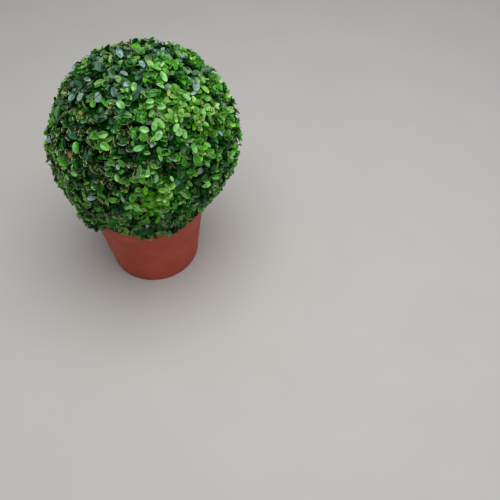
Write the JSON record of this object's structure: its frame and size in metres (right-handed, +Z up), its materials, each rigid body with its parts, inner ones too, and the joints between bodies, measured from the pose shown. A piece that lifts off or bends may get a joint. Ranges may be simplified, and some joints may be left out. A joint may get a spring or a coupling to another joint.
{
  "type": "box topiary ball",
  "caption": "Clipped evergreen ball of small rounded box leaves on a short hidden stem, in a tapered terracotta-coloured pot.",
  "frame": {"origin": "middle of the pot's flat underside", "axes": "+Z up out of the pot; -Y towards the front, the side the picture looks at from above; +X to the right"},
  "size_m": [0.2988, 0.3001, 0.4194],
  "materials": {
    "pot": "moulded terracotta-coloured plastic, smooth and slightly satin",
    "compost": "moist dark bark compost",
    "stem": "pale grey-brown finely fissured bark",
    "foliage": "small glossy evergreen leaves, fresh green over dark green, with clipped tan edges"
  },
  "bodies": {
    "root": {"pot": "pot", "compost": "compost", "stem": "stem", "crown": "foliage"}
  },
  "joints": []
}
